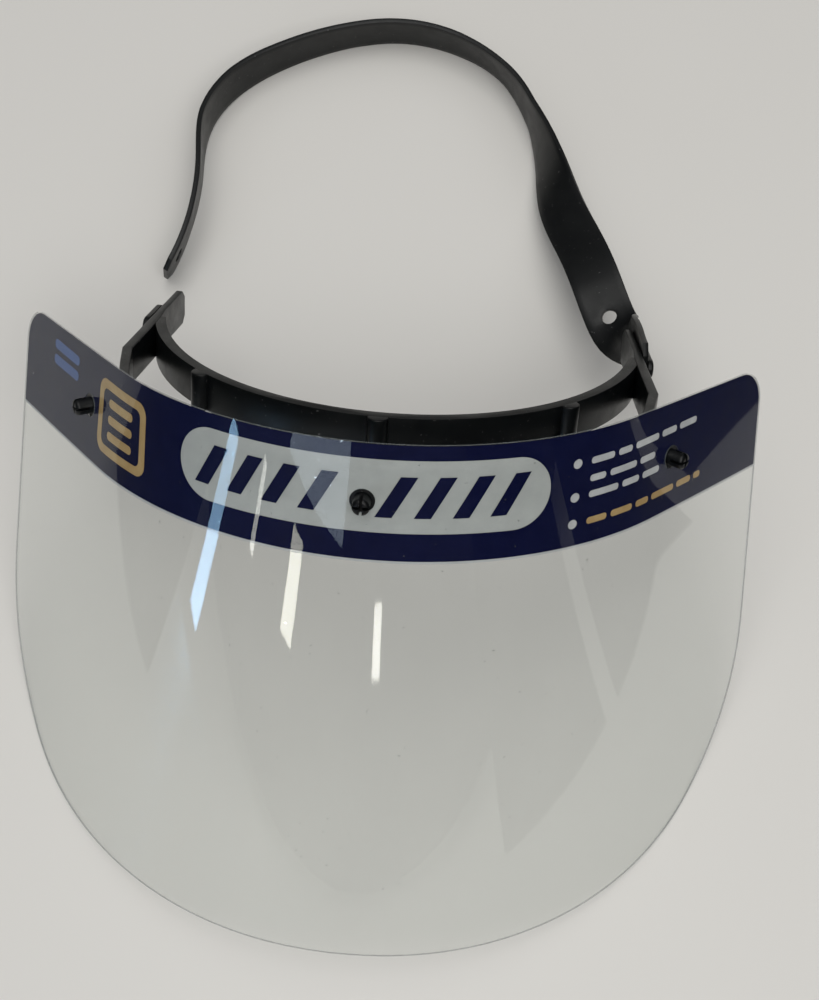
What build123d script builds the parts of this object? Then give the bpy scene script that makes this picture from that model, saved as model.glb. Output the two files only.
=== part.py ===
from build123d import *
from math import atan2, cos, hypot, pi, radians, sin, sqrt
import os

# Face shield: a clear bent visor on three pins of a one-piece moulded frame, with a flat head strap.
# Everything is first built in the worn frame: X to the wearer's side, Y from the forehead to the back of
# the head, Z up, with the origin on the middle visor hole. At the end it is laid down as it rests on a
# table: on the two lower corners of the visor and on the loop of the strap, with the front facing up.

# ---- driving dimensions, millimetres and degrees ----
VISOR_WIDTH = 308.0          # flat sheet
VISOR_HEIGHT = 176.0
VISOR_THICKNESS = 0.6
VISOR_TOP_CORNER = 11.0      # corner radius
VISOR_SHOULDER = 82.0        # below the top edge, where the long lower curve starts
VISOR_CURVE_POWER = 2.25     # exponent of the lower curve
HOLE_DROP = 17.0             # holes below the top edge
HOLE_SPREAD = 104.0          # side holes from the middle, along the sheet
HOLE_DIAMETER = 7.0
BEND_RADIUS = 96.0           # of the sheet at the height of the holes
APEX_HEIGHT = 312.0          # apex of the cone that the sheet is bent to, above the holes
FLAT_START = 90.5            # from here outward, along the sheet, the sides are flat

FRAME_HEIGHT = 12.0
BOW_GAP = 5.5                # from the sheet to the bow
BOW_WALL = 3.0
BAND_WALL = 3.5
BAND_RADIUS = 78.0           # inside, against the forehead
BAND_CENTRE_Y = 124.5
RIB_RADIUS = 3.1
RIB_ANGLE = 43.5             # side ribs from the middle of the band
ARM_FRONT = (84.0, 80.0)     # outer corner of the arm
ARM_REAR = (78.8, 139.5)     # outer tip of the tail
ARM_CORNER = 10.0            # degrees by which the bow turns inward at the arm's front corner
ARM_WALL = 3.2
ARM_STEP = (0.5, 0.62)       # share of the arm's length over which it thins to the tail
TAIL_WALL = 2.4
TAIL_CORNER = 2.6            # chamfer of the tail's tip
BAND_SIDE_Y = 110.0          # the band's ends stop here, inside the arms
BOW_TURN = 52.0              # angle round the bow at which it turns straight back

PIN_DIAMETER = 5.0
PIN_BEYOND = 4.8             # free length in front of the sheet
PIN_COLLAR = 8.6
PIN_ROUNDING = 1.2
PIN_INSIDE = (10.0, 7.0, 10.0)  # from the sheet's front back into the bow: left, middle, right
PIN_SLIT = 0.8
PIN_SLIT_DEPTH = 4.0
STUD_Y = 122.0
STUD_NECK = 5.2
STUD_GAP = 2.6
STUD_HEAD = (18.0, 6.4, 2.0)  # length, height, thickness
STUD_ROUNDING = 0.8

STRAP_WIDTH = 18.0
STRAP_THICKNESS = 2.0
STRAP_HOLE = 5.36            # 0.08 mm clear of the stud's neck
STRAP_END_HOLE = 9.0         # end holes from the strap's ends
STRAP_SPARE_HOLE = 42.0      # from the hooked hole
STRAP_END_CORNER = 3.5       # chamfer of the strap's end corners
STRAP_PLAY = 0.3             # between the strap and the arm
STRAP_STRAIGHT = 19.5        # from the stud back, where the strap still lies along the arm
STRAP_SLICES = 72
LYING_TILT = 41.0            # the worn frame is turned by this much about X

# ---- the visor as a bent sheet ----
HALF_ANGLE = atan2(BEND_RADIUS, APEX_HEIGHT)
FLAT_ANGLE = atan2(FLAT_START, APEX_HEIGHT)      # of the sheet, about the apex
ROUND_ANGLE = FLAT_ANGLE / sin(HALF_ANGLE)       # about the cone's axis


def generator(turn):
    """Unit vector from the apex down the cone, turned round its axis."""
    side = sin(HALF_ANGLE) * sin(turn)
    front = sin(HALF_ANGLE) * cos(turn)
    along = cos(HALF_ANGLE)
    return Vector(
        side,
        along * sin(HALF_ANGLE) - front * cos(HALF_ANGLE),
        -along * cos(HALF_ANGLE) - front * sin(HALF_ANGLE),
    )


def sheet_point(u, v):
    """Where the point u along the sheet and v below the hole row comes to when the sheet is bent."""
    down = APEX_HEIGHT + v
    slant = hypot(u, down)
    angle = atan2(abs(u), down)
    side = 1 if u >= 0 else -1
    turn = min(angle, FLAT_ANGLE) / sin(HALF_ANGLE)
    edge = generator(turn)
    tangent = Vector(cos(turn), sin(turn) * cos(HALF_ANGLE), sin(turn) * sin(HALF_ANGLE))
    past = max(angle - FLAT_ANGLE, 0)
    place = (edge * cos(past) + tangent * sin(past)) * slant + Vector(0, 0, APEX_HEIGHT)
    return Vector(side * place.X, place.Y, place.Z)


def wall_direction(u):
    """Horizontal unit vector square to the bent sheet at hole height, pointing outward."""
    step = sheet_point(u + 0.5, 0) - sheet_point(u - 0.5, 0)
    return Vector(step.Y, -step.X, 0).normalized()


def visor_edge():
    """The sheet's outline seen from the front, as a face in the XZ plane."""
    half = VISOR_WIDTH / 2
    top = -HOLE_DROP
    curve_drop = VISOR_HEIGHT - VISOR_SHOULDER
    steps = 16
    lower = []
    for i in range(steps + 1):
        t = pi / 2 * i / steps
        u = half * cos(t) ** (2 / VISOR_CURVE_POWER)
        v = top + VISOR_SHOULDER + curve_drop * sin(t) ** (2 / VISOR_CURVE_POWER)
        lower.append(sheet_point(u, v))
    inset = VISOR_TOP_CORNER * (1 - sqrt(0.5))
    corner_in = sheet_point(half - VISOR_TOP_CORNER, top)
    corner_mid = sheet_point(half - inset, top + inset)
    corner_out = sheet_point(half, top + VISOR_TOP_CORNER)
    flat = [Vector(p.X, 0, p.Z) for p in lower]
    mirrored = [Vector(-p.X, 0, p.Z) for p in reversed(flat[:-1])]
    in_z, mid_z, out_z = corner_in.Z, corner_mid.Z, corner_out.Z
    top_z = sheet_point(0, top).Z
    outline = [
        ThreePointArc((-corner_in.X, 0, in_z), (0, 0, top_z), (corner_in.X, 0, in_z)),
        ThreePointArc((corner_in.X, 0, in_z), (corner_mid.X, 0, mid_z), (corner_out.X, 0, out_z)),
        Line((corner_out.X, 0, out_z), flat[0]),
        Spline(*flat, *mirrored),
        Line(mirrored[-1], (-corner_out.X, 0, out_z)),
        ThreePointArc((-corner_out.X, 0, out_z), (-corner_mid.X, 0, mid_z), (-corner_in.X, 0, in_z)),
    ]
    return make_face(Wire(outline))


def bent_shell():
    """Oversize bent sheet: a slice of a thin cone with a flat wing on each side."""
    near, far, wing = APEX_HEIGHT - 30, APEX_HEIGHT + 190, 110
    radial, axial = sin(HALF_ANGLE), cos(HALF_ANGLE)
    inward = Vector(-axial, 0, radial) * VISOR_THICKNESS
    outer_near = Vector(radial * near, 0, axial * near)
    outer_far = Vector(radial * far, 0, axial * far)
    profile = make_face(Polyline(outer_near, outer_far, outer_far + inward, outer_near + inward, close=True))
    turn = ROUND_ANGLE * 180 / pi
    start = Rot(0, 0, -turn) * profile
    shell = revolve(start, Axis.Z, 2 * turn)
    for sign in (-1, 1):
        face = Rot(0, 0, sign * turn) * profile
        away = Vector(-sin(turn * pi / 180), sign * cos(turn * pi / 180), 0)
        shell += extrude(face, amount=wing, dir=away)
    # cone axis (Z here) goes down and back from the apex; its front generator is vertical
    axis_down = Vector(0, sin(HALF_ANGLE), -cos(HALF_ANGLE))
    front = Vector(0, -cos(HALF_ANGLE), -sin(HALF_ANGLE))
    return Plane((0, 0, APEX_HEIGHT), x_dir=front, z_dir=axis_down) * shell


def rod(start, direction, radius, length):
    from_start = (Align.CENTER, Align.CENTER, Align.MIN)
    return Plane(start, z_dir=direction) * Cylinder(radius, length, align=from_start)


def hole_places():
    """Hole centre on the sheet's front and the outward direction, left, middle, right."""
    return [(sheet_point(u, 0), wall_direction(u)) for u in (-HOLE_SPREAD, 0, HOLE_SPREAD)]


def make_visor():
    front, depth = 50, 300   # a prism from well in front of the sheet to well behind it
    visor = bent_shell() & (Pos(0, -front, 0) * extrude(visor_edge(), amount=depth, dir=(0, 1, 0)))
    for place, outward in hole_places():
        visor -= rod(place - outward * HOLE_DIAMETER, outward, HOLE_DIAMETER / 2, 2 * HOLE_DIAMETER)
    return visor


# ---- the moulded frame, all of one height ----
def plate(outline):
    """A piece of the frame from its plan outline."""
    face = make_face(Wire(outline))
    return Pos(0, 0, -FRAME_HEIGHT / 2) * extrude(face, amount=FRAME_HEIGHT, dir=(0, 0, 1))


def round_point(radius, centre_y, angle):
    """Plan point on a circle about (0, centre_y), measured from the front."""
    return Vector(radius * sin(radians(angle)), centre_y - radius * cos(radians(angle)), 0)


def half_bow():
    """Right half of the visor bow, up to the arm's front corner."""
    outer, inner = BEND_RADIUS - BOW_GAP, BEND_RADIUS - BOW_GAP - BOW_WALL
    out_end = round_point(outer, BEND_RADIUS, BOW_TURN)
    in_end = round_point(inner, BEND_RADIUS, BOW_TURN)
    corner = Vector(*ARM_FRONT, 0)
    inside = corner - Vector(ARM_WALL, 0, 0)
    heading = Vector(cos(radians(BOW_TURN)), sin(radians(BOW_TURN)), 0)
    back = Vector(sin(radians(ARM_CORNER)), cos(radians(ARM_CORNER)), 0)
    outline = [
        ThreePointArc((0, BOW_GAP, 0), round_point(outer, BEND_RADIUS, BOW_TURN / 2), out_end),
        Spline(out_end, corner, tangents=(heading, back)),
        Line(corner, inside),
        Spline(inside, in_end, tangents=(-back, -heading)),
        ThreePointArc(in_end, round_point(inner, BEND_RADIUS, BOW_TURN / 2), (0, BOW_GAP + BOW_WALL, 0)),
        Line((0, BOW_GAP + BOW_WALL, 0), (0, BOW_GAP, 0)),
    ]
    return plate(outline)


def arm_direction():
    return Vector(ARM_REAR[0] - ARM_FRONT[0], ARM_REAR[1] - ARM_FRONT[1], 0).normalized()


def arm_outward():
    along = arm_direction()
    return Vector(along.Y, -along.X, 0)


def make_arm():
    """Right arm: a straight strip from the bow's corner back to the free tail, tip corners cut."""
    outward = arm_outward()
    front, rear = Vector(*ARM_FRONT, 0), Vector(*ARM_REAR, 0)
    waist, step = (front + (rear - front) * share for share in ARM_STEP)
    outline = [
        Line(front, rear),
        Line(rear, rear - outward * TAIL_WALL),
        Line(rear - outward * TAIL_WALL, step - outward * TAIL_WALL),
        Line(step - outward * TAIL_WALL, waist - outward * ARM_WALL),
        Line(waist - outward * ARM_WALL, front - Vector(ARM_WALL, 0, 0)),
        Line(front - Vector(ARM_WALL, 0, 0), front),
    ]
    arm = plate(outline)
    tip_edges = arm.edges().filter_by(
        lambda e: e.center().Y > ARM_REAR[1] - 1 and e.length < 2 * TAIL_WALL and abs(e.center().Z) > 1
    )
    return chamfer(tip_edges, TAIL_CORNER)


def make_band():
    """Forehead band between the arms."""
    outer, inner = BAND_RADIUS + BAND_WALL, BAND_RADIUS
    ring = Pos(0, BAND_CENTRE_Y, 0) * (Cylinder(outer, FRAME_HEIGHT) - Cylinder(inner, FRAME_HEIGHT + 2))
    half = 2 * BAND_RADIUS   # deeper and wider than the ring itself
    return ring & (Pos(0, BAND_SIDE_Y - half, 0) * Box(2 * half, 2 * half, FRAME_HEIGHT))


def make_ribs():
    """Three half-round ribs on the band's front."""
    ribs = Part()
    for angle in (-RIB_ANGLE, 0, RIB_ANGLE):
        place = round_point(BAND_RADIUS + BAND_WALL, BAND_CENTRE_Y, angle)
        rib = Pos(place.X, place.Y, 0) * Cylinder(RIB_RADIUS, FRAME_HEIGHT)
        core = Pos(0, BAND_CENTRE_Y, 0) * Cylinder(BAND_RADIUS + BAND_WALL, FRAME_HEIGHT + 2)
        ribs += rib - core
    return ribs


def make_pin(place, outward, inside, visor, bow):
    """Collared pin from the bow out through a visor hole, with a cross-slit rounded end."""
    root = place - outward * inside
    reach = inside + PIN_BEYOND
    radius = PIN_DIAMETER / 2
    shaft = rod(root, outward, radius, reach)
    shaft = fillet(shaft.faces().sort_by(lambda f: f.center().dot(outward))[-1].edges(), PIN_ROUNDING)
    tip = place + outward * PIN_BEYOND
    slit_plane = Plane(tip, x_dir=(0, 0, 1), z_dir=outward)
    for width, height in ((PIN_SLIT, 2 * PIN_DIAMETER), (2 * PIN_DIAMETER, PIN_SLIT)):
        shaft -= slit_plane * Box(width, height, 2 * PIN_SLIT_DEPTH)
    collar = rod(root, outward, PIN_COLLAR / 2, inside - VISOR_THICKNESS)
    return (shaft + collar) - bow - visor


def make_stud():
    """Right T-shaped strap stud on the arm's outer face."""
    outward = arm_outward()
    share = (STUD_Y - ARM_FRONT[1]) / (ARM_REAR[1] - ARM_FRONT[1])
    foot = Vector(*ARM_FRONT, 0) + (Vector(*ARM_REAR, 0) - Vector(*ARM_FRONT, 0)) * share
    neck = rod(foot, outward, STUD_NECK / 2, STUD_GAP)
    length, height, thickness = STUD_HEAD
    seat = Plane(foot + outward * STUD_GAP, x_dir=arm_direction(), z_dir=outward)
    head = seat * extrude(SlotOverall(length, height), amount=thickness)
    head = fillet(head.faces().sort_by(lambda f: f.center().dot(outward))[-1].edges(), STUD_ROUNDING)
    return neck + head, foot


# ---- the strap, laid out on the table ----
def lay_down(shape):
    return Rot(-LYING_TILT, 0, 0) * shape


def lay_point(p):
    c, s = cos(radians(LYING_TILT)), sin(radians(LYING_TILT))
    return Vector(p.X, c * p.Y + s * p.Z, -s * p.Y + c * p.Z)


def make_strap(stud_foot, table):
    """Flat strap: against the right arm, turning over behind it, then on its edge round to a free tip."""
    outward = arm_outward()
    back = lay_point(arm_direction())
    up_at_stud = lay_point(Vector(0, 0, 1))
    hook = lay_point(stud_foot + outward * (STRAP_PLAY + STRAP_THICKNESS / 2))
    end = hook - back * STRAP_END_HOLE
    clear = hook + back * STRAP_STRAIGHT
    edge = table + STRAP_WIDTH / 2
    # middle line and the direction from the lower to the upper edge at each place
    stations = [
        (end, up_at_stud),
        (hook, up_at_stud),
        (clear, up_at_stud),
        (Vector(76, 117, table + 27), Vector(0.7, 0.59, 0.4)),
        (Vector(68, 135, table + 27.5), Vector(0.88, 0.4, 0.28)),
        (Vector(61, 155.5, table + 21.5), Vector(0.8, 0.5, 0.3)),
        (Vector(53.5, 176, table + 15), Vector(0.77, 0.1, 0.6)),
        (Vector(47.5, 198.5, table + 12), Vector(0.43, -0.3, 0.82)),
        (Vector(40, 220, table + 10.4), Vector(0.1, -0.26, 0.97)),
        (Vector(28, 239.5, table + 9.6), Vector(0.08, -0.36, 0.92)),
        (Vector(9, 252.5, edge), Vector(-0.05, -0.22, 1)),
        (Vector(-15, 257, edge), Vector(0.02, -0.22, 1)),
        (Vector(-37, 252.5, edge), Vector(0.05, -0.18, 1)),
        (Vector(-62, 240, edge), Vector(0.05, -0.1, 1)),
        (Vector(-80.3, 223.2, edge + 0.6), Vector(0.02, 0, 1)),
        (Vector(-88, 202.7, edge + 1.8), Vector(0, -0.03, 1)),
        (Vector(-86.4, 180, edge + 3.2), Vector(0.08, 0, 1)),
        (Vector(-86.9, 156.8, edge + 2.6), Vector(0.19, 0, 1)),
        (Vector(-92.8, 134.8, edge), Vector(0.23, -0.1, 1)),
    ]
    return twisted_strip(stations)


def twisted_strip(stations):
    """Strip through the stations, as straight slices between cross-sections, with its holes."""
    route = Spline(*[place for place, _ in stations])
    marks = [route.param_at_point(place) for place, _ in stations]

    def section_at(t):
        k = max(j for j in range(len(marks) - 1) if marks[j] <= t + 1e-6)
        share = (t - marks[k]) / (marks[k + 1] - marks[k])
        upward = stations[k][1].normalized() * (1 - share) + stations[k + 1][1].normalized() * share
        heading = route % t
        upward = (upward - heading * upward.dot(heading)).normalized()
        return Plane(route @ t, x_dir=upward, z_dir=heading)

    sections = [section_at(i / STRAP_SLICES) for i in range(STRAP_SLICES + 1)]
    strip = loft([at * Rectangle(STRAP_WIDTH, STRAP_THICKNESS) for at in sections], ruled=True)
    for at in (sections[0], sections[-1]):
        for sign in (-1, 1):
            corner = Plane(at.origin + at.x_dir * sign * STRAP_WIDTH / 2, x_dir=at.x_dir, z_dir=at.y_dir)
            side = STRAP_END_CORNER * sqrt(2)
            strip -= corner * Rot(0, 0, 45) * Box(side, side, 3 * STRAP_THICKNESS)
    holes = []
    spare = marks[1] + STRAP_SPARE_HOLE / route.length
    for t in (marks[1], spare, 1 - STRAP_END_HOLE / route.length):
        at = section_at(t)
        in_front = at.origin - at.y_dir * 2 * STRAP_THICKNESS
        strip -= rod(in_front, at.y_dir, STRAP_HOLE / 2, 4 * STRAP_THICKNESS)
        holes.append((at.origin, at.y_dir))
    return strip, holes


# ---- everything together ----
def mirrored(shape):
    return mirror(shape, about=Plane.YZ)


def worn_pieces():
    visor = make_visor()
    right_bow = half_bow()
    left_bow = mirrored(right_bow)
    bows = right_bow + left_bow
    right_arm = make_arm()
    left_arm = mirrored(right_arm)
    band = make_band() - right_arm - left_arm
    right_stud, foot = make_stud()
    right_stud -= right_arm
    pins = [
        make_pin(place, outward, inside, visor, bows)
        for (place, outward), inside in zip(hole_places(), PIN_INSIDE)
    ]
    pieces = {
        "visor": visor,
        "visor_bow_left": left_bow,
        "visor_bow_right": right_bow,
        "forehead_band": band,
        "band_ribs": make_ribs(),
        "left_arm": left_arm,
        "right_arm": right_arm,
        "left_visor_pin": pins[0],
        "middle_visor_pin": pins[1],
        "right_visor_pin": pins[2],
        "left_strap_stud": mirrored(right_stud),
        "right_strap_stud": right_stud,
    }
    return pieces, foot


worn, stud_foot = worn_pieces()
lying = {name: lay_down(shape) for name, shape in worn.items()}
table_height = lying["visor"].bounding_box().min.Z
lying["head_strap"], strap_holes = make_strap(stud_foot, table_height)

# the origin is under the middle of the whole shield's box, on the table
box = lying["visor"].bounding_box()
for shape in lying.values():
    box = box.add(shape.bounding_box())
middle = box.center()
to_origin = Pos(-middle.X, -middle.Y, -box.min.Z)
os.makedirs("parts", exist_ok=True)
for name, shape in lying.items():
    export_step(to_origin * shape, f"parts/{name}.step")

hinge = to_origin * Location(tuple(lay_point(stud_foot)))
print("strap hinge at", hinge.position, "along", lay_point(arm_outward()))
for place, face in strap_holes:
    print("strap hole at", (to_origin * Location(tuple(place))).position, "along", face)
print("middle hole at", (to_origin * Location(tuple(lay_point(Vector(0, 0, 0))))).position)
print("whole shield", box.size)
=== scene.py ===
from math import atan2, ceil, cos, hypot, pi, radians, sin

import bmesh
import bpy
import numpy as np
from mathutils import Matrix, Vector
from mathutils.bvhtree import BVHTree
from mathutils.geometry import delaunay_2d_cdt


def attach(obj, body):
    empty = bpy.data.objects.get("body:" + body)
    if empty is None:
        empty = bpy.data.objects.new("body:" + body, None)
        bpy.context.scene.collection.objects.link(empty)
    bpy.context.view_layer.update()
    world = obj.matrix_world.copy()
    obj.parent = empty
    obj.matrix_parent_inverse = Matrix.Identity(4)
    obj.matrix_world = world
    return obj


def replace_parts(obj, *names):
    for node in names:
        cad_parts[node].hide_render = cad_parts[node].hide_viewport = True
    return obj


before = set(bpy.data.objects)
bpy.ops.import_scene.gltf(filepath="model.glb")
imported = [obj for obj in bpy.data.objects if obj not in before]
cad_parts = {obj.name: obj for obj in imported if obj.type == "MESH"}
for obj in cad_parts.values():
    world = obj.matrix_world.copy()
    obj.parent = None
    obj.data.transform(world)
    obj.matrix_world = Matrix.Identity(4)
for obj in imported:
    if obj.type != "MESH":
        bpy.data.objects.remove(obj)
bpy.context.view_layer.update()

# The object's lengths are millimetres until a mesh is made. Lights, cards and the camera are in metres.
MM = 0.001
WELD = 2e-6                    # points nearer than this are joined
FLUSH = 3e-5                   # an edge this near to a neighbouring piece lies on it

# ---- the visor's sheet, bent as in the CAD ----
HALF_WIDTH, HEIGHT, THICKNESS = 154.0, 176.0, 0.6
TOP = -17.0                    # the top edge, measured down from the row of holes
SHOULDER, POWER, TOP_CORNER = 82.0, 2.25, 11.0
HOLE_SPREAD, HOLE_RADIUS = 104.0, 3.5
BEND_RADIUS, APEX_HEIGHT, FLAT_START = 96.0, 312.0, 90.5
HALF_ANGLE = atan2(BEND_RADIUS, APEX_HEIGHT)
FLAT_ANGLE = atan2(FLAT_START, APEX_HEIGHT)
TILT = radians(41.0)
LYING_SHIFT = Vector((0.0, -77.8047, 131.359))


def laid_down(p):
    """From the worn attitude to the one on the table."""
    return Vector((p.x, cos(TILT) * p.y + sin(TILT) * p.z, -sin(TILT) * p.y + cos(TILT) * p.z))


def on_sheet(u, v):
    """The sheet's front face and its outward normal, u along the sheet and v down from the holes."""
    down = APEX_HEIGHT + v
    slant, angle = hypot(u, down), atan2(abs(u), down)
    turn = min(angle, FLAT_ANGLE) / sin(HALF_ANGLE)
    ca, sa = cos(HALF_ANGLE), sin(HALF_ANGLE)
    edge = Vector((sa * sin(turn), ca * sa - sa * cos(turn) * ca, -ca * ca - sa * cos(turn) * sa))
    tangent = Vector((cos(turn), sin(turn) * ca, sin(turn) * sa))
    past = max(angle - FLAT_ANGLE, 0.0)
    place = (edge * cos(past) + tangent * sin(past)) * slant + Vector((0, 0, APEX_HEIGHT))
    normal = edge.cross(tangent)
    if u < 0:
        place.x, normal.x = -place.x, -normal.x
    return laid_down(place) + LYING_SHIFT, laid_down(normal)


# ---- the strap's route, as in the CAD ----
STRAP_WIDTH, STRAP_THICKNESS = 18.0, 2.0
STRAP_END_CORNER = 3.5
STRAP_HOLE_RADIUS = 2.68
STRAP_END_HOLE = 9.0           # from either end to the nearest hole
STRAP_SPARE_HOLE = 42.0        # from the hooked hole
STRAP_STRAIGHT = 19.5          # straight part behind the stud
TABLE = 0.098                  # height from which the stations' heights are measured
ARM_FRONT, ARM_REAR = Vector((84.0, 80.0, 0.0)), Vector((78.8, 139.5, 0.0))
STUD_Y, STUD_SEAT = 122.0, 1.3
ARM = (ARM_REAR - ARM_FRONT).normalized()
STUD_FOOT = ARM_FRONT + (ARM_REAR - ARM_FRONT) * (STUD_Y - ARM_FRONT.y) / (ARM_REAR.y - ARM_FRONT.y)
ARM_BACK, ARM_UP = laid_down(ARM), laid_down(Vector((0, 0, 1)))
HOOK = laid_down(STUD_FOOT + Vector((ARM.y, -ARM.x, 0)) * STUD_SEAT) + LYING_SHIFT
EDGE = TABLE + STRAP_WIDTH / 2
LAY_Y = LYING_SHIFT.y
# middle line and the direction from the lower to the upper edge at each place
STATIONS = [
    (HOOK - ARM_BACK * STRAP_END_HOLE, ARM_UP),
    (HOOK, ARM_UP),
    (HOOK + ARM_BACK * STRAP_STRAIGHT, ARM_UP),
    (Vector((76, 117 + LAY_Y, TABLE + 27)), Vector((0.7, 0.59, 0.4))),
    (Vector((68, 135 + LAY_Y, TABLE + 27.5)), Vector((0.88, 0.4, 0.28))),
    (Vector((61, 155.5 + LAY_Y, TABLE + 21.5)), Vector((0.8, 0.5, 0.3))),
    (Vector((53.5, 176 + LAY_Y, TABLE + 15)), Vector((0.77, 0.1, 0.6))),
    (Vector((47.5, 198.5 + LAY_Y, TABLE + 12)), Vector((0.43, -0.3, 0.82))),
    (Vector((40, 220 + LAY_Y, TABLE + 10.4)), Vector((0.1, -0.26, 0.97))),
    (Vector((28, 239.5 + LAY_Y, TABLE + 9.6)), Vector((0.08, -0.36, 0.92))),
    (Vector((9, 252.5 + LAY_Y, EDGE)), Vector((-0.05, -0.22, 1))),
    (Vector((-15, 257 + LAY_Y, EDGE)), Vector((0.02, -0.22, 1))),
    (Vector((-37, 252.5 + LAY_Y, EDGE)), Vector((0.05, -0.18, 1))),
    (Vector((-62, 240 + LAY_Y, EDGE)), Vector((0.05, -0.1, 1))),
    (Vector((-80.3, 223.2 + LAY_Y, EDGE + 0.6)), Vector((0.02, 0, 1))),
    (Vector((-88.0, 202.7 + LAY_Y, EDGE + 1.8)), Vector((0, -0.03, 1))),
    (Vector((-86.4, 180.0 + LAY_Y, EDGE + 3.2)), Vector((0.08, 0, 1))),
    (Vector((-86.9, 156.8 + LAY_Y, EDGE + 2.6)), Vector((0.19, 0, 1))),
    (Vector((-92.8, 134.8 + LAY_Y, EDGE)), Vector((0.23, -0.1, 1))),
]


def smooth_route(places, per_span=40):
    """Cubic curve through the places, smooth to the second derivative, as points and slopes."""
    p = np.array([tuple(q) for q in places])
    t = np.concatenate([[0.0], np.cumsum(np.linalg.norm(np.diff(p, axis=0), axis=1))])
    n = len(t)

    def end_slope(indices, at):
        """Slope at one end of the cubic through the four nearest places."""
        total = np.zeros(3)
        for i in indices:
            others = [j for j in indices if j != i]
            scale = np.prod([t[i] - t[j] for j in others])
            rate = sum(np.prod([t[at] - t[k] for k in others if k != j]) for j in others)
            total += p[i] * rate / scale
        return total

    a, b = np.zeros((n, n)), np.zeros((n, 3))
    a[0, 0] = a[-1, -1] = 1
    b[0], b[-1] = end_slope(range(4), 0), end_slope(range(n - 4, n), n - 1)
    for i in range(1, n - 1):
        before, after = t[i] - t[i - 1], t[i + 1] - t[i]
        a[i, i - 1], a[i, i], a[i, i + 1] = after, 2 * (before + after), before
        b[i] = 3 * ((p[i + 1] - p[i]) / after * before + (p[i] - p[i - 1]) / before * after)
    m = np.linalg.solve(a, b)
    points, slopes = [], []
    for i in range(n - 1):
        h = t[i + 1] - t[i]
        for k in range(per_span + (i == n - 2)):
            x = k / per_span
            points.append(
                (2 * x**3 - 3 * x**2 + 1) * p[i]
                + (x**3 - 2 * x**2 + x) * h * m[i]
                + (3 * x**2 - 2 * x**3) * p[i + 1]
                + (x**3 - x**2) * h * m[i + 1]
            )
            slopes.append(
                (6 * x**2 - 6 * x) / h * p[i]
                + (3 * x**2 - 4 * x + 1) * m[i]
                + (6 * x - 6 * x**2) / h * p[i + 1]
                + (3 * x**2 - 2 * x) * m[i + 1]
            )
    return np.array(points), np.array(slopes), per_span


ROUTE, SLOPES, PER_SPAN = smooth_route([place for place, _ in STATIONS])
ALONG = np.concatenate([[0.0], np.cumsum(np.linalg.norm(np.diff(ROUTE, axis=0), axis=1))])
STRAP_LENGTH = float(ALONG[-1])
MARKS = [float(ALONG[i * PER_SPAN]) for i in range(len(STATIONS))]


def on_strap(s, w):
    """The strap's middle surface and the direction across it, s along the strap and w across."""
    s = min(max(s, 0.0), STRAP_LENGTH)
    at = Vector([float(np.interp(s, ALONG, ROUTE[:, i])) for i in range(3)])
    heading = Vector([float(np.interp(s, ALONG, SLOPES[:, i])) for i in range(3)]).normalized()
    k = max(j for j in range(len(MARKS) - 1) if MARKS[j] <= s + 1e-6)
    share = min((s - MARKS[k]) / (MARKS[k + 1] - MARKS[k]), 1.0)
    upward = STATIONS[k][1].normalized() * (1 - share) + STATIONS[k + 1][1].normalized() * share
    upward = (upward - heading * upward.dot(heading)).normalized()
    return at + upward * w, heading.cross(upward)


# ---- flat shapes, and solids bent from them ----
def is_inside(a, b, loop):
    """Whether a point lies inside a closed loop."""
    found = False
    for (a0, b0), (a1, b1) in zip(loop, loop[1:] + loop[:1]):
        if (b0 > b) != (b1 > b) and a < a0 + (b - b0) * (a1 - a0) / (b1 - b0):
            found = not found
    return found


def densified(loop, step):
    """The same loop with no side longer than the step."""
    out = []
    for (a0, b0), (a1, b1) in zip(loop, loop[1:] + loop[:1]):
        parts = max(1, ceil(hypot(a1 - a0, b1 - b0) / step))
        out += [(a0 + (a1 - a0) * i / parts, b0 + (b1 - b0) * i / parts) for i in range(parts)]
    return out


def oval(a, b, radius_a, radius_b, sides=32):
    """Closed loop round an oval."""
    return [
        (a + radius_a * cos(2 * pi * i / sides), b + radius_b * sin(2 * pi * i / sides))
        for i in range(sides)
    ]


def rounded_bar(a0, b0, a1, b1, radius, corner_steps=8):
    """Rectangle with rounded corners."""
    radius = min(radius, (a1 - a0) / 2 - 1e-3, (b1 - b0) / 2 - 1e-3)
    out = []
    for a, b, start in ((a1 - radius, b1 - radius, 0), (a0 + radius, b1 - radius, 90),
                        (a0 + radius, b0 + radius, 180), (a1 - radius, b0 + radius, 270)):
        for i in range(corner_steps + 1):
            turn = radians(start + 90 * i / corner_steps)
            out.append((a + radius * cos(turn), b + radius * sin(turn)))
    return out


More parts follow.
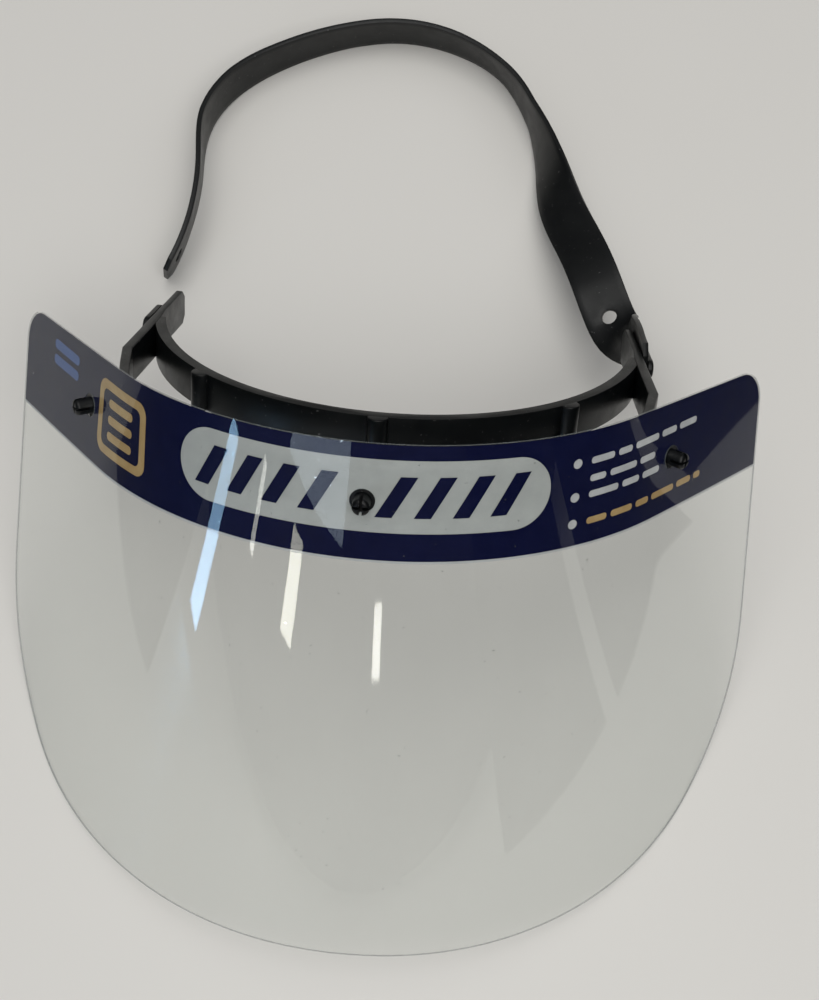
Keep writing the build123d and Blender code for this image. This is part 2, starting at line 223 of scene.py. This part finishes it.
def bent_solid(name, outline, holes, place, front, back, step, exact_normals=True):
    """Closed mesh between two offsets from a surface, over a flat outline with holes."""
    loops = [densified(loop, step) for loop in [outline, *holes]]

    def on_shape(a, b):
        return is_inside(a, b, loops[0]) and not any(is_inside(a, b, hole) for hole in loops[1:])

    points = [p for loop in loops for p in loop]
    edges, start = [], 0
    for loop in loops:
        edges += [(start + i, start + (i + 1) % len(loop)) for i in range(len(loop))]
        start += len(loop)
    rim = np.array(points)
    low, high = rim.min(axis=0), rim.max(axis=0)
    row_step = step * 0.87     # rows of nearly equal-sided triangles
    rows = int((high[1] - low[1]) / row_step) + 1
    for row in range(1, rows):
        b = low[1] + row * row_step
        columns = int((high[0] - low[0]) / step) + 1
        for column in range(columns + 1):
            a = low[0] + (column + 0.5 * (row % 2)) * step
            if np.hypot(rim[:, 0] - a, rim[:, 1] - b).min() < 0.5 * step:
                continue
            if on_shape(a, b):
                points.append((a, b))
    flat, _, triangles, *_ = delaunay_2d_cdt([Vector(p) for p in points], edges, [], 0, 1e-6)
    flat = [tuple(p) for p in flat]
    kept = []
    for tri in triangles:
        a = sum(flat[i][0] for i in tri) / 3
        b = sum(flat[i][1] for i in tri) / 3
        if on_shape(a, b):
            kept.append(tuple(tri))
    surface = [place(a, b) for a, b in flat]
    outer = [(at + normal * front) * MM for at, normal in surface]
    inner = [(at + normal * back) * MM for at, normal in surface]
    count = len(flat)
    areas = [
        (flat[j][0] - flat[i][0]) * (flat[k][1] - flat[i][1])
        - (flat[j][1] - flat[i][1]) * (flat[k][0] - flat[i][0])
        for i, j, k in kept
    ]
    facing = sum(
        (outer[j] - outer[i]).cross(outer[k] - outer[i]).dot(surface[i][1]) * area
        for (i, j, k), area in zip(kept, areas)
    )
    faces = [(i, j, k) if area * facing > 0 else (i, k, j) for (i, j, k), area in zip(kept, areas)]
    sides = {}
    for i, j, k in faces:
        for pair in ((i, j), (j, k), (k, i)):
            sides[pair] = True
    rim_edges = [pair for pair in sides if (pair[1], pair[0]) not in sides]
    mesh = bpy.data.meshes.new(name)
    mesh.from_pydata(
        outer + inner,
        [],
        faces
        + [(k + count, j + count, i + count) for i, j, k in faces]
        + [(j, i, i + count, j + count) for i, j in rim_edges],
    )
    mesh.update()
    mesh.shade_smooth()
    if exact_normals:
        normals = []
        for face in mesh.polygons:
            for vertex in face.vertices:
                if len(face.vertices) == 4:
                    normals.append(face.normal.copy())
                elif vertex < count:
                    normals.append(surface[vertex][1])
                else:
                    normals.append(-surface[vertex - count][1])
        mesh.normals_split_custom_set(normals)
    obj = bpy.data.objects.new(name, mesh)
    bpy.context.scene.collection.objects.link(obj)
    return obj


# ---- materials ----
def new_material(name):
    """A material with its nodes, its links and its main shader."""
    material = bpy.data.materials.new(name)
    material.use_nodes = True
    nodes, links = material.node_tree.nodes, material.node_tree.links
    return material, nodes, links, nodes["Principled BSDF"]


def node(nodes, kind, **values):
    """A new node, with the values set on its sockets, or on itself where it has no such socket."""
    made = nodes.new(kind)
    for key, value in values.items():
        if key in made.inputs:
            made.inputs[key].default_value = value
        else:
            setattr(made, key, value)
    return made


def noise(nodes, links, scale, detail=4.0, roughness=0.5, stretch=(1, 1, 1)):
    """Noise over the object's own coordinates."""
    place = node(nodes, "ShaderNodeTexCoord")
    mapping = node(nodes, "ShaderNodeMapping")
    mapping.inputs["Scale"].default_value = stretch
    links.new(place.outputs["Object"], mapping.inputs["Vector"])
    made = node(nodes, "ShaderNodeTexNoise", Scale=scale, Detail=detail, Roughness=roughness)
    links.new(mapping.outputs["Vector"], made.inputs["Vector"])
    return made.outputs["Fac"]


def ranged(nodes, links, source, low, high, to_low, to_high):
    """The source's low to high range, mapped to another range."""
    made = node(nodes, "ShaderNodeMapRange")
    made.inputs["From Min"].default_value = low
    made.inputs["From Max"].default_value = high
    made.inputs["To Min"].default_value = to_low
    made.inputs["To Max"].default_value = to_high
    links.new(source, made.inputs["Value"])
    return made.outputs["Result"]


def tinted(nodes, links, source, stops):
    """Colours along a ramp, picked by the source."""
    ramp = nodes.new("ShaderNodeValToRGB")
    elements = ramp.color_ramp.elements
    while len(elements) < len(stops):
        elements.new(0.5)
    for element, (place, colour) in zip(elements, stops):
        element.position, element.color = place, (*colour, 1)
    links.new(source, ramp.inputs["Fac"])
    return ramp.outputs["Color"]


def plastic(name, dark, light, rough, grain, grain_depth, scratch, specular):
    """Moulded plastic: mottled colour and gloss, a fine grain, faint rubbed marks and dust."""
    material, nodes, links, shader = new_material(name)
    shader.inputs["IOR"].default_value = 1.49
    shader.inputs["Specular IOR Level"].default_value = specular
    patches = noise(nodes, links, 55, 5, 0.6)
    specks = noise(nodes, links, 900, 2, 0.5)
    dust = ranged(nodes, links, specks, 0.70, 0.76, 0.0, 0.5)
    base = tinted(nodes, links, patches, [(0.3, dark), (0.7, light)])
    mix = node(nodes, "ShaderNodeMix", data_type="RGBA")
    links.new(dust, mix.inputs["Factor"])
    links.new(base, mix.inputs["A"])
    mix.inputs["B"].default_value = (0.16, 0.16, 0.155, 1)
    links.new(mix.outputs["Result"], shader.inputs["Base Color"])
    worn = noise(nodes, links, 140, 6, 0.65)
    links.new(ranged(nodes, links, worn, 0.3, 0.7, *rough), shader.inputs["Roughness"])
    fine = noise(nodes, links, grain, 3, 0.6)
    bump = node(nodes, "ShaderNodeBump", Strength=grain_depth, Distance=0.00012)
    links.new(fine, bump.inputs["Height"])
    lines = noise(nodes, links, 60, 3, 0.7, (1, 30, 30))
    marks = node(nodes, "ShaderNodeBump", Strength=scratch, Distance=0.00008)
    links.new(lines, marks.inputs["Height"])
    links.new(bump.outputs["Normal"], marks.inputs["Normal"])
    links.new(marks.outputs["Normal"], shader.inputs["Normal"])
    return material


def clear_sheet():
    """Clear sheet: gloss by angle over a faint gray tint, with hazy rubbed patches and dust."""
    material, nodes, links, shader = new_material("clear_sheet_look")
    shader.inputs["Base Color"].default_value = (0.93, 0.95, 0.94, 1)
    shader.inputs["Metallic"].default_value = 0.92
    smears = noise(nodes, links, 28, 6, 0.65, (1.0, 0.35, 0.35))
    links.new(ranged(nodes, links, smears, 0.35, 0.75, 0.008, 0.055), shader.inputs["Roughness"])
    wave = noise(nodes, links, 9, 2, 0.5)
    bump = node(nodes, "ShaderNodeBump", Strength=0.35, Distance=0.0006)
    links.new(wave, bump.inputs["Height"])
    links.new(bump.outputs["Normal"], shader.inputs["Normal"])
    clear = node(nodes, "ShaderNodeBsdfTransparent")
    clear.inputs["Color"].default_value = (0.966, 0.972, 0.966, 1)
    facing = node(nodes, "ShaderNodeLayerWeight", Blend=0.5)
    links.new(bump.outputs["Normal"], facing.inputs["Normal"])
    edge_on = node(nodes, "ShaderNodeMath", operation="POWER")
    links.new(facing.outputs["Facing"], edge_on.inputs[0])
    edge_on.inputs[1].default_value = 5
    gloss = ranged(nodes, links, edge_on.outputs["Value"], 0, 1, 0.03, 0.75)
    haze = ranged(nodes, links, smears, 0.42, 0.8, 0.0, 0.022)
    dust = ranged(nodes, links, noise(nodes, links, 700, 2, 0.5), 0.735, 0.77, 0.0, 0.35)
    total = node(nodes, "ShaderNodeMath", operation="ADD")
    links.new(gloss, total.inputs[0])
    links.new(haze, total.inputs[1])
    more = node(nodes, "ShaderNodeMath", operation="ADD", use_clamp=True)
    links.new(total.outputs["Value"], more.inputs[0])
    links.new(dust, more.inputs[1])
    mix = node(nodes, "ShaderNodeMixShader")
    links.new(more.outputs["Value"], mix.inputs["Fac"])
    links.new(clear.outputs["BSDF"], mix.inputs[1])
    links.new(shader.outputs["BSDF"], mix.inputs[2])
    links.new(mix.outputs["Shader"], nodes["Material Output"].inputs["Surface"])
    return material


def ink(name, colour, second, rough, see_through=0.0):
    """Printed ink with slight unevenness; see_through lets what is behind it show faintly."""
    material, nodes, links, shader = new_material(name)
    patches = noise(nodes, links, 180, 5, 0.6)
    links.new(tinted(nodes, links, patches, [(0.3, colour), (0.7, second)]), shader.inputs["Base Color"])
    worn = ranged(nodes, links, patches, 0.3, 0.7, rough - 0.08, rough + 0.08)
    links.new(worn, shader.inputs["Roughness"])
    shader.inputs["Specular IOR Level"].default_value = 0.05
    bump = node(nodes, "ShaderNodeBump", Strength=0.15, Distance=0.00005)
    links.new(noise(nodes, links, 1500, 2, 0.5), bump.inputs["Height"])
    links.new(bump.outputs["Normal"], shader.inputs["Normal"])
    if see_through:
        shader.inputs["Alpha"].default_value = 1 - see_through
    return material


def cut_edge():
    """Cut edge of the sheet, with fine saw marks; its grey, darker than the clear faces, is painted shade.
    """
    material, nodes, links, shader = new_material("cut_edge_painted_shade")
    marks = noise(nodes, links, 400, 3, 0.6)
    # painted shade: the edge is as clear as the faces, and its darker grey stands in for the shade along it;
    # the noise in it is saw marks
    links.new(tinted(nodes, links, marks, [(0.3, (0.12, 0.14, 0.145)), (0.7, (0.26, 0.29, 0.30))]),
              shader.inputs["Base Color"])
    links.new(ranged(nodes, links, marks, 0.3, 0.7, 0.2, 0.45), shader.inputs["Roughness"])
    bump = node(nodes, "ShaderNodeBump", Strength=0.3, Distance=0.00005)
    links.new(marks, bump.inputs["Height"])
    links.new(bump.outputs["Normal"], shader.inputs["Normal"])
    shader.inputs["Alpha"].default_value = 0.5
    return material


BLACK = plastic(
    "frame_look", (0.0015, 0.002, 0.0025), (0.004, 0.005, 0.0055),
    rough=(0.28, 0.42), grain=2600, grain_depth=0.2, scratch=0.1, specular=0.28,
)
STRAP = plastic(
    "strap_look", (0.002, 0.0025, 0.003), (0.005, 0.0058, 0.006),
    rough=(0.30, 0.44), grain=2200, grain_depth=0.22, scratch=0.12, specular=0.30,
)
CLEAR = clear_sheet()
CUT_EDGE = cut_edge()
NAVY = ink("navy_print", (0.0012, 0.0026, 0.026), (0.002, 0.0038, 0.034), 0.4)
WHITE = ink("white_print", (0.42, 0.44, 0.43), (0.47, 0.49, 0.48), 0.5, see_through=0.2)
PALE = ink("pale_print", (0.40, 0.41, 0.42), (0.50, 0.51, 0.52), 0.5)
GOLD = ink("gold_print", (0.36, 0.24, 0.10), (0.46, 0.33, 0.16), 0.4)
BLUE = ink("blue_print", (0.05, 0.10, 0.26), (0.07, 0.13, 0.32), 0.4)


# ---- the visor and its print ----
def visor_outline():
    """Rounded top corners, straight sides to the shoulder, then half a superellipse."""
    out = []
    steps = 40
    for i in range(9):
        turn = pi / 2 * (1 - i / 8)
        out.append((HALF_WIDTH - TOP_CORNER + TOP_CORNER * cos(turn),
                    TOP + TOP_CORNER - TOP_CORNER * sin(turn)))
    for i in range(steps + 1):
        t = pi / 2 * i / steps
        out.append((HALF_WIDTH * cos(t) ** (2 / POWER),
                    TOP + SHOULDER + (HEIGHT - SHOULDER) * sin(t) ** (2 / POWER)))
    mirrored = [(-u, v) for u, v in reversed(out)]
    return out + mirrored[1:]


left_hole, middle_hole, right_hole = [
    oval(u, 0.0, HOLE_RADIUS, HOLE_RADIUS) for u in (-HOLE_SPREAD, 0.0, HOLE_SPREAD)
]


def dressed(obj, material, body="shield"):
    """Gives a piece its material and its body."""
    obj.data.materials.clear()
    obj.data.materials.append(material)
    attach(obj, body)
    return obj


SHEET_STEP = 4.0               # size of the triangles
visor = bent_solid("visor_sheet", visor_outline(), [left_hole, middle_hole, right_hole],
                   on_sheet, 0.0, -THICKNESS, SHEET_STEP)
dressed(visor, CLEAR)
# the four-sided faces are the cut edges
visor.data.materials.append(CUT_EDGE)
for face in visor.data.polygons:
    face.material_index = int(len(face.vertices) == 4)
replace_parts(visor, "visor")

BAND_DROP = 17.8               # lower edge of the printed band, below the holes
SIDE_LIFT, LIFT_REACH = 2.8, 150.0
EDGE_INSET = 0.3               # the print stops this far inside the sheet's edge
PRINT = (-0.30, -0.36)         # depths of the print inside the sheet
MARK = (-0.18, -0.24)          # and of the marks on it
PRINT_STEP, MARK_STEP, MARK_EDGE_STEP = 3.5, 2.5, 1.5
PANEL, PANEL_CORNER = (-55.0, -12.4, 53.0, 9.3), 11.0
EDGE_LINE_WIDTH = 0.7
BAND_STEPS = 60


def lift(u):
    """The rows of the print rise slightly toward the sides."""
    return -SIDE_LIFT * (u / LIFT_REACH) ** 2


def band_low(u):
    """Lower edge of the printed band."""
    return BAND_DROP + lift(u)


def across_band():
    """Places from the right end of the printed band to the left."""
    half = HALF_WIDTH - EDGE_INSET
    return [half - 2 * half * i / BAND_STEPS for i in range(BAND_STEPS + 1)]


def band_outline():
    """Printed band from the sheet's top edge down, with the sheet's own rounded top corners."""
    half, top = HALF_WIDTH - EDGE_INSET, TOP + EDGE_INSET
    corner = [(half - TOP_CORNER + TOP_CORNER * sin(radians(9 * i)),
               top + TOP_CORNER - TOP_CORNER * cos(radians(9 * i))) for i in range(11)]
    return corner + [(u, band_low(u)) for u in across_band()] + [(-u, v) for u, v in reversed(corner)]


def edge_line_outline():
    """Narrow ribbon along the lower edge of the printed band."""
    lower = [(u, band_low(u) + EDGE_LINE_WIDTH) for u in reversed(across_band())]
    return [(u, band_low(u)) for u in across_band()] + lower


def printed(name, outline, holes, material):
    """A piece of the print, inside the sheet's thickness."""
    obj = bent_solid(name, outline, holes, on_sheet, *PRINT, PRINT_STEP)
    return dressed(obj, material)


def mark(name, loop, material, holes=()):
    """A mark over the print, which follows the rise of its rows."""
    moved = [[(u, v + lift(u)) for u, v in densified(one, MARK_EDGE_STEP)] for one in (loop, *holes)]
    obj = bent_solid(name, moved[0], moved[1:], on_sheet, *MARK, MARK_STEP)
    return dressed(obj, material)


panel = rounded_bar(*PANEL, PANEL_CORNER, 16)
printed("printed_band", band_outline(), [left_hole, right_hole, panel], NAVY)
printed("printed_panel", panel, [middle_hole], WHITE)
printed("printed_band_line", edge_line_outline(), [], PALE)

# slanted bars across the panel, in place of its words, apart from one that would meet the middle pin
BAR_HALF, BAR_LEAN, BAR_TOP, BAR_LOW = 2.3, 3.2, -7.6, 4.6
BAR_START, BAR_PITCH = -44.0, 10.6
for i in range(9):
    u = BAR_START + i * BAR_PITCH
    if abs(u + 0.8) < 5.2:
        continue
    mark(f"panel_bar_{i}", [
        (u - BAR_HALF + BAR_LEAN, BAR_TOP), (u + BAR_HALF + BAR_LEAN, BAR_TOP),
        (u + BAR_HALF - BAR_LEAN, BAR_LOW), (u - BAR_HALF - BAR_LEAN, BAR_LOW),
    ], NAVY)

# plain box and bars, in place of a badge
LABEL_LEFT, LABEL_TOP, LABEL_RIGHT, LABEL_LOW, LABEL_LINE = -97.5, -10.5, -70.0, 12.0, 2.7
LABEL_BAR_LEFT, LABEL_BAR_RIGHT, LABEL_BAR_HALF = -90.8, -76.7, 1.3
label_inside = rounded_bar(LABEL_LEFT + LABEL_LINE, LABEL_TOP + LABEL_LINE,
                           LABEL_RIGHT - LABEL_LINE, LABEL_LOW - LABEL_LINE, 2.2)
mark("label_box", rounded_bar(LABEL_LEFT, LABEL_TOP, LABEL_RIGHT, LABEL_LOW, 4.0), GOLD, [label_inside])
for i, v in enumerate((-4.2, 0.75, 5.7)):
    bar = rounded_bar(LABEL_BAR_LEFT, v - LABEL_BAR_HALF, LABEL_BAR_RIGHT, v + LABEL_BAR_HALF, 1.2)
    mark(f"label_bar_{i}", bar, GOLD)

# two plain bars, in place of a block of stripes
SMALL_BAR_LEFT, SMALL_BAR_RIGHT, SMALL_BAR_HEIGHT = -132.0, -113.5, 3.0
for i, v in enumerate((-10.2, -5.4)):
    bar = rounded_bar(SMALL_BAR_LEFT, v, SMALL_BAR_RIGHT, v + SMALL_BAR_HEIGHT, 1.4)
    mark(f"small_bar_{i}", bar, BLUE)

# dots and plain bars, in place of lines of words; a bar that would meet the right pin is left out
ROW_DOT, ROW_START, ROW_GAP, ROW_HALF = 61.5, 66.5, 1.8, 1.0
BAR_LENGTHS = (9.0, 6.0, 11.5, 7.5)
ROWS = (
    # distance down from the holes, length, material, whether it starts with a dot
    (-7.2, 51.0, PALE, True),
    (-1.9, 29.0, PALE, False),
    (2.9, 31.0, PALE, True),
    (11.0, 54.0, GOLD, True),
)
for i, (v, length, material, has_dot) in enumerate(ROWS):
    if has_dot:
        mark(f"row_dot_{i}", oval(ROW_DOT, v, 1.5, 1.4, 24), PALE)
    u, piece = ROW_START, 0
    while u < ROW_START + length - 3:
        end = min(u + BAR_LENGTHS[(piece + i) % len(BAR_LENGTHS)], ROW_START + length)
        if not (end > HOLE_SPREAD - 5.5 and u < HOLE_SPREAD + 5.5 and abs(v) < 6.5):
            mark(f"row_{i}_{piece}", rounded_bar(u, v - ROW_HALF, end, v + ROW_HALF, 0.9), material)
        u = end + ROW_GAP
        piece += 1


# ---- the strap ----
def strap_outline():
    """The strap laid flat, with cut corners at both ends."""
    w, c, length = STRAP_WIDTH / 2, STRAP_END_CORNER, STRAP_LENGTH
    return [(0, -w + c), (c, -w), (length - c, -w), (length, -w + c),
            (length, w - c), (length - c, w), (c, w), (0, w - c)]


def rounded_edges(obj, width, segments=3, angle=35.0, keep_flush=()):
    """Rounds the sharp edges, apart from those that lie on a neighbouring piece."""
    bm = bmesh.new()
    bm.from_mesh(obj.data)
    bmesh.ops.remove_doubles(bm, verts=bm.verts, dist=WELD)
    bmesh.ops.recalc_face_normals(bm, faces=bm.faces)
    sharp = []
    for edge in bm.edges:
        if len(edge.link_faces) != 2 or edge.calc_face_angle(0) < radians(angle):
            continue
        middle = (edge.verts[0].co + edge.verts[1].co) / 2
        if any(
            (hit := tree.find_nearest(middle))[0] is not None and hit[3] < FLUSH for tree in keep_flush
        ):
            continue
        sharp.append(edge)
    bmesh.ops.bevel(bm, geom=sharp, offset=width * MM, segments=segments, profile=0.5,
                    affect="EDGES", clamp_overlap=True)
    bmesh.ops.recalc_face_normals(bm, faces=bm.faces)
    mesh = bpy.data.meshes.new(obj.name)
    bm.to_mesh(mesh)
    bm.free()
    mesh.shade_smooth()
    mesh.set_sharp_from_angle(angle=radians(32))
    obj.data = mesh
    return obj


STRAP_STEP = 3.0
strap_holes = [
    oval(s, 0.0, STRAP_HOLE_RADIUS, STRAP_HOLE_RADIUS)
    for s in (MARKS[1], MARKS[1] + STRAP_SPARE_HOLE, STRAP_LENGTH - STRAP_END_HOLE)
]
strap = bent_solid("strap", strap_outline(), strap_holes, on_strap,
                   STRAP_THICKNESS / 2, -STRAP_THICKNESS / 2, STRAP_STEP, exact_normals=False)
rounded_edges(strap, width=0.35, segments=2, angle=50)
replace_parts(dressed(strap, STRAP, "strap"), "head_strap")

# ---- the frame, with rounded moulded edges ----
# how far each node's edges are rounded
FRAME_NODES = {
    "visor_bow_left": 0.45,
    "visor_bow_right": 0.45,
    "forehead_band": 0.45,
    "band_ribs": 0.4,
    "left_arm": 0.4,
    "right_arm": 0.4,
    "left_visor_pin": 0.15,
    "middle_visor_pin": 0.15,
    "right_visor_pin": 0.15,
    "left_strap_stud": 0.3,
    "right_strap_stud": 0.3,
}


def clean_copy(name):
    """Copy of a node's mesh, welded and with its flat faces joined."""
    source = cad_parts[name]
    bm = bmesh.new()
    bm.from_mesh(source.data)
    bmesh.ops.transform(bm, matrix=source.matrix_world, verts=bm.verts)
    bmesh.ops.remove_doubles(bm, verts=bm.verts, dist=WELD)
    bmesh.ops.dissolve_limit(bm, angle_limit=radians(0.4), verts=bm.verts, edges=bm.edges)
    mesh = bpy.data.meshes.new(name + "_look")
    bm.to_mesh(mesh)
    bm.free()
    obj = bpy.data.objects.new(name + "_look", mesh)
    bpy.context.scene.collection.objects.link(obj)
    return obj


def tree_of(obj):
    """Search tree over a piece's faces."""
    bm = bmesh.new()
    bm.from_mesh(obj.data)
    tree = BVHTree.FromBMesh(bm)
    bm.free()
    return tree


copies = {name: clean_copy(name) for name in FRAME_NODES}
trees = {name: tree_of(obj) for name, obj in copies.items()}
for name, width in FRAME_NODES.items():
    obj = copies[name]
    others = [tree for other, tree in trees.items() if other != name]
    rounded_edges(obj, width, keep_flush=others)
    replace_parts(dressed(obj, BLACK), name)

# ---- table, light and camera ----
floor_mesh = bpy.data.meshes.new("table_top")
floor_mesh.from_pydata([(-6, -6, 0), (6, -6, 0), (6, 6, 0), (-6, 6, 0)], [], [(0, 1, 2, 3)])
table = bpy.data.objects.new("table_top", floor_mesh)
bpy.context.scene.collection.objects.link(table)
table_look, _, _, shader = new_material("table_look")
shader.inputs["Base Color"].default_value = (0.70, 0.685, 0.655, 1)
shader.inputs["Roughness"].default_value = 0.55
shader.inputs["Specular IOR Level"].default_value = 0.3
floor_mesh.materials.append(table_look)


def soft_light(name, at, toward, size, size_y, power, colour):
    """Area light that the camera doesn't see."""
    data = bpy.data.lights.new(name, "AREA")
    data.shape, data.size, data.size_y = "RECTANGLE", size, size_y
    data.energy, data.color = power, colour
    obj = bpy.data.objects.new(name, data)
    obj.location = at
    obj.rotation_euler = (Vector(toward) - Vector(at)).to_track_quat("-Z", "Y").to_euler()
    obj.visible_camera = False
    bpy.context.scene.collection.objects.link(obj)
    return obj


soft_light("overhead", (-0.15, 0.1, 2.2), (0, 0.0, 0), 1.7, 1.4, 15, (1.0, 0.99, 0.96))
soft_light("room_window", (0.5, -0.95, 1.5), (0, 0, 0), 0.9, 0.7, 9.5, (1.0, 0.99, 0.97))
soft_light("side_fill", (1.9, 0.3, 1.6), (0, 0, 0.05), 1.4, 1.4, 2.5, (0.90, 0.96, 1.0))


def window(name, azimuth, elevation, distance, width, height, power, colour):
    """A bright panel low in front: narrow ones show as streaks in the sheet, a wide one lights the print."""
    a, e = radians(azimuth), radians(elevation)
    at = Vector((sin(a) * cos(e), -cos(a) * cos(e), sin(e))) * distance + Vector((0, -0.1, 0.1))
    return soft_light(name, at, (0, -0.1, 0.1), width, height, power, colour)


window("window_blue", -52.5, 1.0, 0.84, 0.055, 0.18, 0.36, (0.40, 0.67, 1.0))
window("window_warm", -24, 8, 2.6, 0.17, 0.22, 1.1, (1.0, 0.97, 0.86))
window("window_thin", -38, 7, 2.6, 0.06, 0.20, 0.35, (1.0, 0.98, 0.92))
window("window_white", 3, 9, 2.6, 0.10, 0.16, 0.45, (1.0, 0.97, 0.90))
window("window_dim", -20, 15.5, 2.6, 0.95, 0.26, 2.6, (0.72, 0.84, 1.0))


def dark_card(name, x, y0, y1, z0):
    """An upright black card beside the object, which only its gloss reflects."""
    mesh = bpy.data.meshes.new(name)
    corners = [(x, y0, z0), (x, y1, z0), (x, y1, CARD_TOP), (x, y0, CARD_TOP)]
    mesh.from_pydata(corners, [], [(0, 1, 2, 3)])
    card = bpy.data.objects.new(name, mesh)
    look, _, _, shader = new_material(name + "_look")
    shader.inputs["Base Color"].default_value = (0.01, 0.011, 0.016, 1)
    shader.inputs["Roughness"].default_value = 0.9
    mesh.materials.append(look)
    card.visible_camera = card.visible_diffuse = card.visible_shadow = card.visible_transmission = False
    bpy.context.scene.collection.objects.link(card)


CARD_TOP, CARD_RIGHT, CARD_LEFT = 0.45, 0.24, -0.30
for i, (y0, y1, z0) in enumerate(((-0.42, -0.19, 0.002), (-0.168, -0.048, 0.002), (-0.036, 0.25, 0.017))):
    dark_card(f"card_right_{i}", CARD_RIGHT, y0, y1, z0)
dark_card("card_left", CARD_LEFT, -0.255, -0.065, 0.002)

world = bpy.data.worlds.new("room")
bpy.context.scene.world = world
world.use_nodes = True
nodes, links = world.node_tree.nodes, world.node_tree.links
background = nodes["Background"]
direction = nodes.new("ShaderNodeTexCoord")
split = nodes.new("ShaderNodeSeparateXYZ")
links.new(direction.outputs["Generated"], split.inputs["Vector"])
links.new(
    tinted(nodes, links, split.outputs["Z"],
           [(0.0, (0.05, 0.05, 0.055)), (0.3, (0.07, 0.07, 0.075)), (0.95, (0.55, 0.55, 0.55))]),
    background.inputs["Color"],
)

camera_data = bpy.data.cameras.new("camera")
camera_data.sensor_width = 36
camera_data.lens = 54          # the lens and the matrix come from fitting the camera to the photo
camera_data.clip_start, camera_data.clip_end = 0.01, 50
camera = bpy.data.objects.new("camera", camera_data)
bpy.context.scene.collection.objects.link(camera)
bpy.context.scene.camera = camera
right = Vector((0.9953, 0.0971, 0.002)).normalized()
back = Vector((0.0354, -0.3813, 0.9238))
back = (back - right * back.dot(right)).normalized()
up = back.cross(right)
camera.matrix_world = Matrix.Translation((0.0266, -0.2283, 0.4996)) @ Matrix((
    (right.x, up.x, back.x, 0),
    (right.y, up.y, back.y, 0),
    (right.z, up.z, back.z, 0),
    (0, 0, 0, 1),
))

bpy.context.scene.view_settings.view_transform = "Standard"
